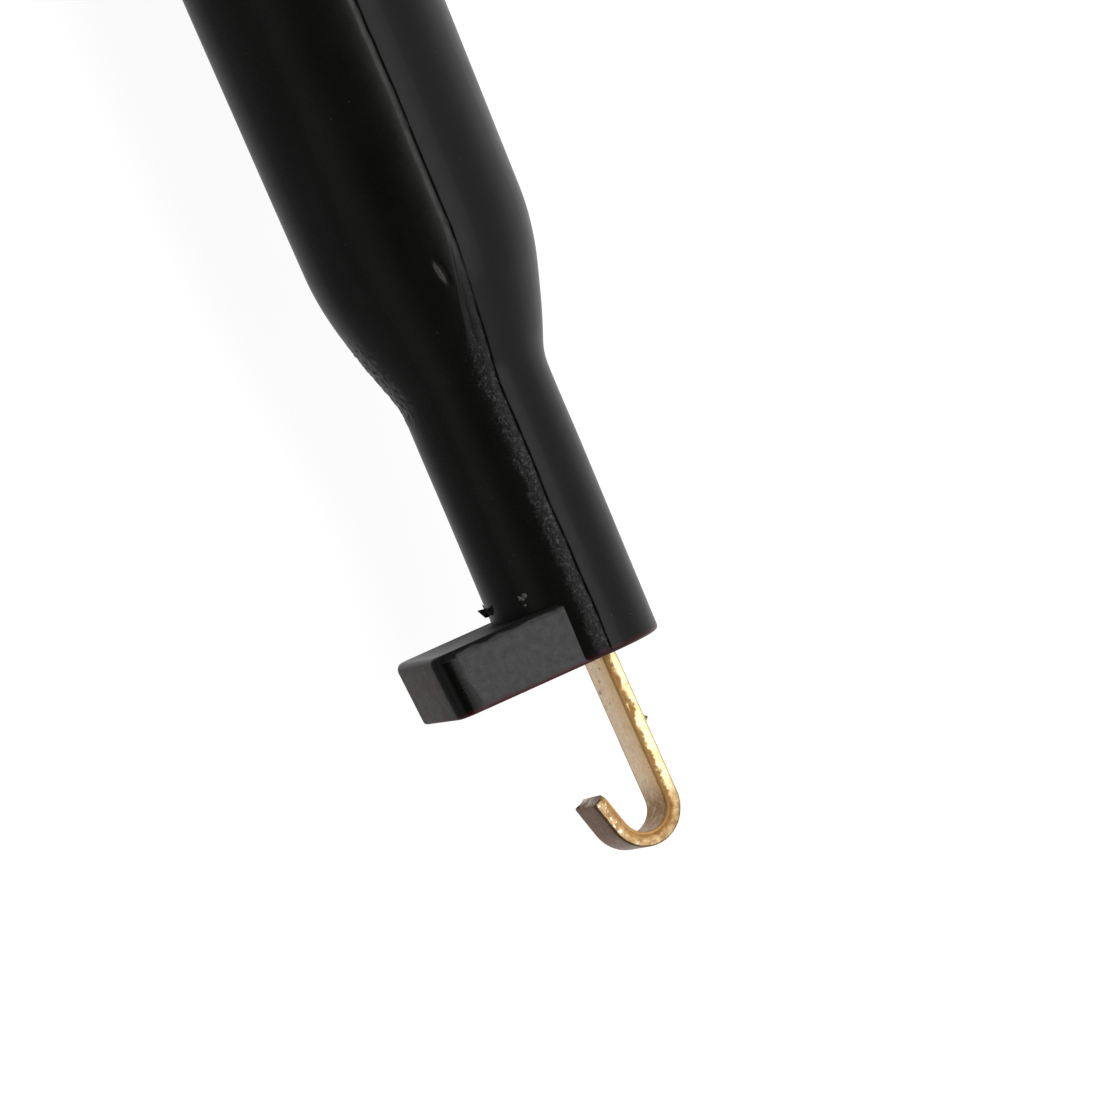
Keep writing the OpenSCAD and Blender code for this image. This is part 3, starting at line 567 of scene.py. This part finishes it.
def make_sleeve():
    """The sleeve's skin: the mould halves' mismatch, the seam, and small moulding faults."""
    rows, cols = sleeve_rows(), sleeve_columns()
    x = np.array([r[0] for r in rows])[:, None] + 0 * cols[None, :]
    r = np.array([r[1] for r in rows])[:, None] + 0 * x
    kind = np.array([r[2] for r in rows])
    s = NOSE_X - x
    fade = np.isin(kind, ("skin", "edge"))[:, None]
    on_outside = np.where(np.isin(kind, ("bore", "inside", "collar")), 0, 1)[:, None]
    angle = np.radians(seam_degrees(s, on_outside) + cols[None, :])
    deg = np.degrees(angle)
    # distance from the seam; rings without a seam count as far to its left
    d = np.where(fade, np.radians(cols[None, :]) * r, -3)
    flat = np.stack([x, r * np.sin(angle), r * np.cos(angle)], axis=-1).reshape(-1, 3)
    ragged = wobble(flat, 1.9, 3).reshape(s.shape)
    uneven = wobble(flat * [1, 0, 0] + [0, 7, 0], 2.5).reshape(s.shape)
    width = np.interp(s, SLOPE_S, SLOPE_MM) * (1 + 0.5 * ragged * smooth_step(12, 11, s))
    # the left half stands proud and slopes down to the seam, with a sharper step by the shoulder
    stepped = smooth_step(10.8, 12.0, s) * smooth_step(15.2, 14.6, s)
    foot = 0.62 * stepped
    proud = PARTING_STEP * np.clip(np.cos(angle), 0, 1)
    proud *= smooth_step(0, 1, (-d / width - foot) / (1 - foot))
    proud *= np.interp(s, STEP_S, STEP_SHARE)
    lift = np.where(d < 0, proud, 0)
    # the seam's groove is faint on the shoulder
    depth = np.interp(s, GROOVE_S, GROOVE_MM)
    lift -= depth * (0.85 + 0.6 * uneven) * np.exp(-(d / 0.032) ** 2)
    # grit on the slope, and orange peel by the shoulder's left side
    band = smooth_step(-1.2, -0.35, d / width) * (d < 0.0)
    band *= np.interp(s, GRIT_S, GRIT_SHARE)
    lift += band * GRIT_MM * wobble(flat, 6, 3).reshape(s.shape)
    half = np.where(d > 0, 1, smooth_step(-1.15, -0.45, d / width) * smooth_step(11.6, 10.8, s)
                    + smooth_step(-1.05, -0.9, d / width) * stepped)
    peel = smooth_step(9.2, 10.2, s) * smooth_step(13.4, 12.2, s)
    peel = peel * smooth_step(-128, -112, deg) * smooth_step(-66, -84, deg)
    lift += peel * PEEL_MM * wobble(flat, 5.5, 3).reshape(s.shape)
    lift += SWELL_MM * wobble(flat, 0.45, 2).reshape(s.shape)
    # a shallow sink along the left half, deeper above the shoulder
    off = np.radians(deg - np.interp(s, SINK_S, SINK_DEG)) * r
    sink = SINK_MM * np.exp(-(off / 0.36) ** 2) * (0.8 + 0.5 * uneven)
    lift -= sink * smooth_step(12.5, 15, s)
    # a nick beside the seam's bend
    along = s - NICK_S
    turned = np.radians(deg - NICK_DEG) * r + NICK_SLANT * along
    lift -= NICK_MM * np.exp(-(turned / 0.10) ** 2 - (along / 0.32) ** 2)
    lift += eased(s, RIGHT_S, RIGHT_MM) * np.clip(np.sin(angle), 0, 1) ** 2
    lift += eased(s, LEFT_S, LEFT_MM) * np.clip(-np.sin(angle), 0, 1) ** 2
    r = r + np.where(fade, lift, 0)
    # the collar's two flats, and the slot for the carrier's key
    is_collar = (kind == "collar")[:, None]
    on_flat = FLAT_Z / np.maximum(np.abs(np.cos(angle)), 1e-6)
    r = np.where(is_collar, np.minimum(r, on_flat), r)
    slot_deg = math.degrees(math.asin(SLOT_HALF / BORE_R)) - 0.05
    in_slot = (kind == "bore")[:, None] & (np.abs(cols) < slot_deg)[None, :]
    r = np.where(in_slot, SLOT_R / np.cos(angle), r)
    verts = np.stack([x, r * np.sin(angle), r * np.cos(angle)], axis=-1).reshape(-1, 3)
    # values for the material: red edge, painted shade in the groove, painted highlights on the
    # ridge beside it and in the nick
    edge = np.where((kind == "edge")[:, None] | (s < 0.21), 1.0, 0.0) * fade
    edge = edge * smooth_step(0.30, 0.06, s) * smooth_step(-0.3, 0.2, np.cos(angle))
    groove = (0.44 + 0.34 * uneven) * np.exp(-(d / 0.034) ** 2)
    groove *= np.interp(s, GROOVE_SHADE_S, GROOVE_SHADE)
    ridge_highlight = np.exp(-((d + 0.14) / 0.09) ** 2) * (0.9 + 0.7 * uneven)
    ridge_highlight *= np.interp(s, RIDGE_HIGHLIGHT_S, RIDGE_HIGHLIGHT_SHARE)
    # where the painted highlight in the nick lies
    nick_highlight = np.exp(-((turned + 0.03) / 0.07) ** 2 - (along / 0.28) ** 2)
    return add_mesh("hook_sleeve_skin", verts.tolist(), tube_faces(*x.shape, close_rows=True),
                    (("band", (band * fade).ravel()), ("edge", edge.ravel()),
                     ("groove", (groove * fade).ravel()),
                     ("ridge_highlight", np.clip(ridge_highlight * fade, 0, 1).ravel()),
                     ("half", np.where(fade, half, 0.5).ravel()),
                     ("nick", (nick_highlight * fade).ravel())))


CORNER_STEPS = 8
MATT_FROM = CORNER_STEPS + 2          # the section's point at which the matt broad face starts


def rounded_section(reach, half, corner, band):
    """The lug seen along the axis: points (y, z) with two rounded corners at its end."""
    pts = []
    for k in range(CORNER_STEPS + 1):
        a = math.radians(180 - 90 * k / CORNER_STEPS)
        pts.append((-reach + corner + corner * math.cos(a), half - corner + corner * math.sin(a)))
    # the polished band goes on past the corner, and fades over 0.17 mm
    pts += [(corner - reach + band, half), (corner - reach + band + 0.17, half)]
    pts += [(-3.4, half), (-2.2, half), (-0.55, half), (-0.55, 1.6), (-1.35, 1.25)]
    mirrored = [(y, -z) for y, z in reversed(pts)]
    return pts + mirrored


def make_lug():
    """The jaw lug, with small rounded edges and a drafted end."""
    front_round, rear_round, side_round, side_rear = 0.15, 0.30, 0.08, 0.20

    def inset(t, radius):
        """How far a rounded edge draws in at t mm from the face it rounds into."""
        return 0.0 if t >= radius else radius - math.sqrt(radius ** 2 - (radius - t) ** 2)

    near = [0, 0.006, 0.025, 0.05, 0.08, 0.12]
    far = near + [0.16, 0.22, 0.30]
    levels = near + list(np.linspace(0.2, LUG_H - 0.45, 10)) + [LUG_H - v for v in reversed(far)]
    # how matt each point round the section is, where it isn't simply on the broad face
    matt_at = {0: 1.0, 1: 0.8, MATT_FROM - 1: 0.22}
    verts, face_w, edge_w, broad_w, ridge_highlight_w, root_w = [], [], [], [], [], []
    # the first ring lies on the front face, a little way in from its edge
    for t, lap in [(0, 0.12)] + [(t, 0) for t in levels]:
        back = LUG_H - t
        matt = float(smooth_step(0.02, 0.24, back))
        end_in = inset(t, front_round) + inset(back, rear_round)
        side_in = inset(t, side_round) + inset(back, side_rear)
        reach = LUG_REACH + t * math.tan(LUG_DRAFT) - end_in
        band = 0.32 - 0.18 * t / LUG_H
        section = rounded_section(reach, LUG_HALF - side_in, max(LUG_ROUND - end_in, 0.2), band)
        count = len(section)
        for k, (y, z) in enumerate(section):
            upper = float(smooth_step(-0.5, 0.5, z))
            draw = 1 - lap / LUG_HALF
            verts.append((-t, LUG_MID_Y + (y - LUG_MID_Y) * draw, z * draw))
            k = min(k, count - 1 - k)
            face_w.append(0.0 if lap else matt * matt_at.get(k, float(k >= MATT_FROM)))
            # a painted highlight along the corner's ridge, on the second point round the section
            ridge_highlight_w.append(0.8 * matt if k == 1 and not lap else 0.0)
            broad_w.append(1.0 if k >= 5 and not lap else 0.0)
            edge_w.append(0.0 if lap else upper * min(1, max(0, 1.5 - t / 0.11)))
            # dull near the nose on the rear face, and along the rear edges
            root = 0.42 * float(np.interp(y, [-4.9, -3.2], [0, 1])) * (back < 0.1)
            root_w.append(max(root, 0.6 * (k >= 6 and 0.015 < back < 0.28)))
    rows = len(levels) + 1
    faces = [tuple(reversed(f)) for f in tube_faces(rows, count)]
    faces.append(tuple(range(count)))
    faces.append(tuple(reversed(range((rows - 1) * count, rows * count))))
    return add_mesh("jaw_lug", placed(verts, LUG_DROOP, "Z"), faces,
                    (("face", face_w), ("edge", edge_w), ("broad", broad_w),
                     ("ridge_highlight", ridge_highlight_w), ("root", root_w)), sharp=50)


def hook_path():
    """Points (x, y) and the tangent's angle along the hook's centre line."""
    mean_r = BEND_R + STRIP_T / 2
    bend_y = HOOK_OFFSET + HOOK_REACH * math.tan(HOOK_LEAN)
    centre = (HOOK_REACH, bend_y - mean_r / math.cos(HOOK_LEAN))
    foot = -HOOK_OFFSET / math.tan(HOOK_LEAN)
    shank_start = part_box("hook_strip")[0].x / MM - NOSE_X
    bend_start = centre[0] - mean_r * math.sin(HOOK_LEAN)
    path = [(shank_start, 0.0, 0.0), (foot, 0.0, 0.0)]
    # the shank, with closer points at the burr
    shank = np.append(np.linspace(foot + 1.0, bend_start - 0.1, 90),
                      BURR_AT + 0.04 * np.arange(-5, 6))
    for x in np.sort(shank):
        path.append((x, (x - foot) * math.tan(HOOK_LEAN), HOOK_LEAN))
    for i in range(61):
        a = math.pi / 2 + HOOK_LEAN - BEND_ANGLE * i / 60
        path.append((centre[0] + mean_r * math.cos(a), centre[1] + mean_r * math.sin(a),
                     a - math.pi / 2))
    x, y, a = path[-1]
    arm = [ARM_LEN * i / 10 for i in range(1, 9)]
    for k in arm + [ARM_LEN - back for back in (0.12, 0.06, 0.03, 0.01, 0)]:
        path.append((x + k * math.cos(a), y + k * math.sin(a), a))
    return path


def make_hook():
    """The hook's strip, swept along its centre line with softly rounded, worn edges."""
    path = hook_path()
    arc_steps, face_step = 4, 0.12
    half_t, half_w = STRIP_T / 2, STRIP_W / 2
    section = []     # (across thickness, across width); the inner face is at -half_t
    for cu, cw, a0, corner in ((-1, 1, 180, 0.11), (1, 1, 90, 0.07), (1, -1, 0, 0.07),
                               (-1, -1, -90, 0.05)):
        for i in range(arc_steps + 1):
            a = math.radians(a0 - 90 * i / arc_steps)
            section.append((cu * (half_t - corner) + corner * math.cos(a),
                            cw * (half_w - corner) + corner * math.sin(a)))
    # points between the corners, so that the faces can be uneven
    full = []
    for i, p in enumerate(section):
        q = section[(i + 1) % len(section)]
        gap = math.dist(p, q)
        m = max(1, int(gap / face_step))
        full += [(p[0] + (q[0] - p[0]) * k / m, p[1] + (q[1] - p[1]) * k / m) for k in range(m)]
    around, total = [], 0.0
    for i, p in enumerate(full):
        around.append(total)
        total += math.dist(p, full[(i + 1) % len(full)])
    # zero where the inner face meets the upper edge
    zero = around[arc_steps // 2]
    around = [v - zero - (total if v - zero > STRIP_T + STRIP_W + 0.15 else 0) for v in around]
    corners = [min(abs(mm - STRIP_T), 0.36 * abs(mm + STRIP_W)) for mm in around]
    verts, along, round_mm, corner_w, run = [], [], [], [], 0.0
    last = None
    # the last rings draw in, so that the sheared end has worn edges
    rounding = {1: 0.80, 2: 0.90, 3: 0.95, 4: 0.985}
    for i, (x, y, a) in enumerate(path):
        if last:
            run += math.dist((x, y), last)
        last = (x, y)
        normal = (-math.sin(a), math.cos(a))
        shrink = rounding.get(len(path) - i, 1.0)
        for (u, w), mm in zip(full, around):
            u, w = u * shrink, w - math.copysign((1 - shrink) * half_t, w)
            verts.append((x + normal[0] * u, y + normal[1] * u, w))
            along.append(run + path[0][0])
            round_mm.append(mm)
        corner_w += [max(0.0, 0.85 - c / 0.08) for c in corners]
    count = len(full)
    # the sheared end: cut at a slant, with its middle a little hollow
    last_row = len(verts) - count
    tip = path[-1]
    for k in range(count):
        u, w = full[k]
        cut = -0.07 * (u / half_t) + 0.02 * (w / half_w)
        vx, vy, vz = verts[last_row + k]
        verts[last_row + k] = (vx + cut * math.cos(tip[2]), vy + cut * math.sin(tip[2]), vz)
    points = np.array(verts)
    bumps = 0.012 * wobble(points, 2.6, 3) + 0.005 * wobble(points, 9, 2)
    centre_pts = np.repeat(np.array([(p[0], p[1], 0) for p in path]), count, axis=0)
    out = points - centre_pts
    out /= np.linalg.norm(out, axis=1)[:, None]
    points += out * bumps[:, None]
    # a small dark burr on the outer corner, within the nose hole's radius
    burr = np.exp(-((np.array(along) - BURR_AT) / BURR_LONG) ** 2
                  - ((np.array(round_mm) - STRIP_T - 0.02) / BURR_WIDE) ** 2)
    points[:, 1] += BURR_HIGH * burr
    corner_w = np.maximum(corner_w, 0.9 * np.minimum(1, 2 * burr)).tolist()
    verts = placed(points.tolist(), HOOK_TWIST, "X")
    rows = len(path)
    faces = tube_faces(rows, count)
    faces.append(tuple(reversed(range(count))))
    faces.append(tuple(range((rows - 1) * count, rows * count)))
    tip_w = [0.0] * (len(verts) - 3 * count) + [0.3] * count + [1.0] * (2 * count)
    return add_mesh("hook_strip_worn", verts, faces,
                    (("along_mm", along), ("around_mm", round_mm), ("corner", corner_w),
                     ("tip", tip_w)), sharp=60)


def make_flash():
    """A ragged scrap of moulding flash on the nose, just behind the lug."""
    verts, faces = [], []
    heights = [0.04, 0.17, 0.10, 0.30, 0.15, 0.22, 0.09, 0.16, 0.07, 0.03]
    n, ring = len(heights), 5
    for k, h in enumerate(heights):
        a = math.radians(-128 + 48 * k / (n - 1))
        x = NOSE_X - LUG_H - 0.34 - 0.20 * math.sin(k * 1.9) ** 2
        for dr, dx in ((-0.15, 0.05), (h * 0.6, 0.02), (h, -0.10 - 0.12 * (k % 2)),
                       (h * 0.6, -0.09), (-0.15, -0.06)):
            r = NOSE_R + dr
            verts.append((x + dx, r * math.sin(a), r * math.cos(a)))
    for k in range(n - 1):
        for j in range(ring):
            a, b = k * ring + j, k * ring + (j + 1) % ring
            faces.append((a, b, b + ring, a + ring))
    faces += [tuple(reversed(range(ring))), tuple((n - 1) * ring + j for j in range(ring))]
    return add_mesh("nose_flash", verts, faces, sharp=20)


# Pale specks of dust on the sleeve: (mm behind the nose's end, degrees round, size)
SPECKS = ((21.0, 34, 0.05), (20.6, -20, 0.045), (20.3, -31, 0.05), (23.4, -60, 0.04),
          (9.95, 0.6, 0.05), (12.3, -25, 0.04), (6.4, -37, 0.045), (4.2, -44, 0.05),
          (4.35, -39, 0.05), (4.0, -25, 0.045), (1.2, 13, 0.05), (0.95, 30, 0.045),
          (17.4, 22, 0.035), (16.2, -50, 0.035), (2.92, -43.5, 0.30), (2.90, -48, 0.26),
          (2.84, -46, 0.24), (2.61, -46, 0.17))


def make_specks():
    """Dust specks, as tiny flattened chips on the skin."""
    verts, faces, ring = [], [], 6
    for i, (s, deg, size) in enumerate(SPECKS):
        a = math.radians(deg)
        tall, side_mm = ((PARTING_STEP, eased(s, LEFT_S, LEFT_MM)) if deg < 0
                         else (0, eased(s, RIGHT_S, RIGHT_MM)))
        r = sleeve_radius(s) + tall * math.cos(a) + side_mm * math.sin(a) ** 2
        out = Vector((0, math.sin(a), math.cos(a)))
        side = Vector((0, math.cos(a), -math.sin(a)))
        centre = Vector((NOSE_X - s, 0, 0)) + out * r
        base = len(verts)
        for k in range(ring):
            b = 2 * math.pi * k / ring + i
            reach = size * (0.55 + (0.35 if size < 0.1 else 0.12) * math.sin(3 * k + 2 * i))
            verts.append(tuple(centre + Vector((1, 0, 0)) * reach * math.cos(b)
                               + side * reach * math.sin(b) - out * 0.012))
        verts.append(tuple(centre + out * min(size * 0.35, 0.02)))
        for k in range(ring):
            faces.append((base + (k + 1) % ring, base + k, base + ring))
        faces.append(tuple(base + k for k in range(ring)))
    return add_mesh("dust_specks", verts, faces, sharp=180)


# ---- stage ----
def facing(centre, normal_y, normal_z):
    """A place whose local Z points along the given normal and whose X runs along the probe."""
    return Matrix.Translation(Vector(centre)) @ Matrix.Rotation(math.atan2(-normal_y, normal_z),
                                                                4, "X")


def plane(name, centre, size, normal=(0, 1)):
    """A flat stage piece, which isn't part of the object. Metres."""
    half = [v / 2 for v in size]
    data = bpy.data.meshes.new(name)
    corners = [(-half[0], -half[1], 0), (half[0], -half[1], 0),
               (half[0], half[1], 0), (-half[0], half[1], 0)]
    data.from_pydata(corners, [], [(0, 1, 2, 3)])
    obj = bpy.data.objects.new(name, data)
    obj.matrix_world = facing(centre, *normal)
    bpy.context.scene.collection.objects.link(obj)
    return obj


def make_floor():
    """A pale floor: it takes the shadow, the camera sees it white, and glossy rays see a glow with
    painted shade on its -Y side.
    """
    floor = plane("floor", (0.07, 0, FLOOR_Z - 0.00002), (6, 6))
    m, t, s = new_material("white_floor", (0.28, 0.28, 0.28), 0.9, spec=0.0)
    path = t.nodes.new("ShaderNodeLightPath")
    seen = math_node(t, "MAXIMUM", path.outputs["Is Glossy Ray"],
                     path.outputs["Is Transmission Ray"])
    # painted shade: the glow that glossy rays see is dimmer on the floor's -Y side, standing in
    # for the object's shadow there
    seen = times(t, seen, span(t, across_mm(t), -11, 4, 0.15, 0.80))
    seen = plus(t, seen, times(t, path.outputs["Is Camera Ray"], 0.93))
    glow = t.nodes.new("ShaderNodeEmission")
    t.links.new(seen, glow.inputs["Strength"])
    add = t.nodes.new("ShaderNodeAddShader")
    t.links.new(s.outputs[0], add.inputs[0])
    t.links.new(glow.outputs[0], add.inputs[1])
    t.links.new(add.outputs[0], t.nodes["Material Output"].inputs["Surface"])
    floor.data.materials.append(m)


def make_light():
    """Even studio light, a soft box overhead and a dark card that dark gloss mirrors."""
    world = bpy.data.worlds.new("studio")
    bpy.context.scene.world = world
    world.use_nodes = True
    back = world.node_tree.nodes["Background"]
    back.inputs["Color"].default_value = (1, 1, 1, 1)
    back.inputs["Strength"].default_value = 0.68
    card = plane("dark_card", (0.1, -0.188, 0.1888), (1.3, 0.67), normal=(0.584, -0.811))
    m, t, s = new_material("card_black", (0.05, 0.05, 0.05), 0.9, spec=0.0)
    across = across_mm(t)
    grey = span(t, across, -60, 110, 0.015, 0.6, smooth=True)
    t.links.new(grey, s.inputs["Base Color"])
    s.inputs["Emission Color"].default_value = (1, 1, 1, 1)
    falling = span(t, across, 150, 260, 0.27, 0.12)
    rising = span(t, across, -70, 100, 0, 0.27, smooth=True)
    t.links.new(math_node(t, "MINIMUM", falling, rising), s.inputs["Emission Strength"])
    card.data.materials.append(m)
    card.visible_camera = False
    lamp_data = bpy.data.lights.new("soft_box", "AREA")
    lamp_data.shape, lamp_data.size, lamp_data.size_y = "RECTANGLE", 0.7, 0.26
    lamp_data.energy = 1.0
    lamp = bpy.data.objects.new("soft_box", lamp_data)
    lamp.matrix_world = facing((0.12, 0.22, 0.48), 0.42, 0.9)
    bpy.context.scene.collection.objects.link(lamp)
    bpy.context.scene.view_settings.view_transform = "Standard"


def make_materials():
    """A material for each slot of the record, by the slot's name."""
    gold = metal("gold_contact", (0.93, 0.70, 0.36), (0.72, 0.50, 0.24), 0.28)
    return {
        "black_nylon": moulded_plastic("black_nylon", (0.009, 0.009, 0.010),
                                       (0.015, 0.015, 0.016), 0.42, spec=0.3),
        "handle_plastic": moulded_plastic("handle_plastic", (0.026, 0.026, 0.028),
                                          (0.034, 0.034, 0.037), 0.5, grain=7.0, depth=0.02,
                                          spec=0.5, worn=0.14, scuffs=0.35),
        "knob_plastic": moulded_plastic("knob_plastic", (0.10, 0.10, 0.11),
                                        (0.13, 0.13, 0.14), 0.5, grain=9.0, depth=0.01,
                                        worn=0.1, scuffs=0.25),
        "bush_rubber": moulded_plastic("bush_rubber", (0.03, 0.03, 0.03), (0.04, 0.04, 0.04), 0.7),
        "gold_contact": gold,
        "hook_metal": gold,
        "nickel_brass": metal("nickel_brass", (0.68, 0.66, 0.61), (0.56, 0.53, 0.47), 0.3),
        "spring_steel": metal("spring_steel", (0.6, 0.6, 0.62), (0.45, 0.45, 0.46), 0.25),
        "white_insulator": moulded_plastic("white_insulator", (0.72, 0.70, 0.65),
                                           (0.80, 0.78, 0.73), 0.35),
        "board_green": moulded_plastic("board_green", (0.03, 0.14, 0.06),
                                       (0.04, 0.18, 0.08), 0.35),
        "resistor_body": moulded_plastic("resistor_body", (0.2, 0.36, 0.48),
                                         (0.25, 0.42, 0.55), 0.3),
        "ceramic": moulded_plastic("ceramic", (0.5, 0.38, 0.22), (0.6, 0.46, 0.28), 0.6),
        "copper_wire": metal("copper_wire", (0.8, 0.45, 0.28), (0.6, 0.34, 0.2), 0.3),
        "housing_plastic": moulded_plastic("housing_plastic", (0.6, 0.58, 0.52),
                                           (0.68, 0.66, 0.6), 0.45),
    }


def dress_nodes(materials):
    """Gives every CAD node its slot's material."""
    for part in frame["record"]["subparts"]:
        mesh = NODES[part["node"]].data
        mesh.materials.clear()
        mesh.materials.append(materials[part["material_slot"]])


def mount(obj, material, slot, *nodes, body="sleeve"):
    """Gives a new piece its material and body, and hides the CAD nodes it stands for. The slot is
    not used.
    """
    obj.data.materials.append(material)
    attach(obj, body)
    if nodes:
        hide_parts(*nodes)


make_camera()
make_floor()
make_light()
dress_nodes(make_materials())
mount(make_sleeve(), sleeve_plastic(), "black_nylon", "hook_sleeve")
mount(make_lug(), lug_plastic(), "black_nylon", "hook_sleeve")
mount(make_hook(), hook_gold(), "hook_metal", "hook_strip", body="carrier")
flash = moulded_plastic("flash_black", (0.008, 0.0072, 0.0072), (0.013, 0.0118, 0.0118), 0.45,
                        spec=0.3)
mount(make_flash(), flash, "black_nylon")
dust = moulded_plastic("dust_pale", (0.16, 0.155, 0.15), (0.26, 0.255, 0.245), 0.6)
mount(make_specks(), dust, "black_nylon")
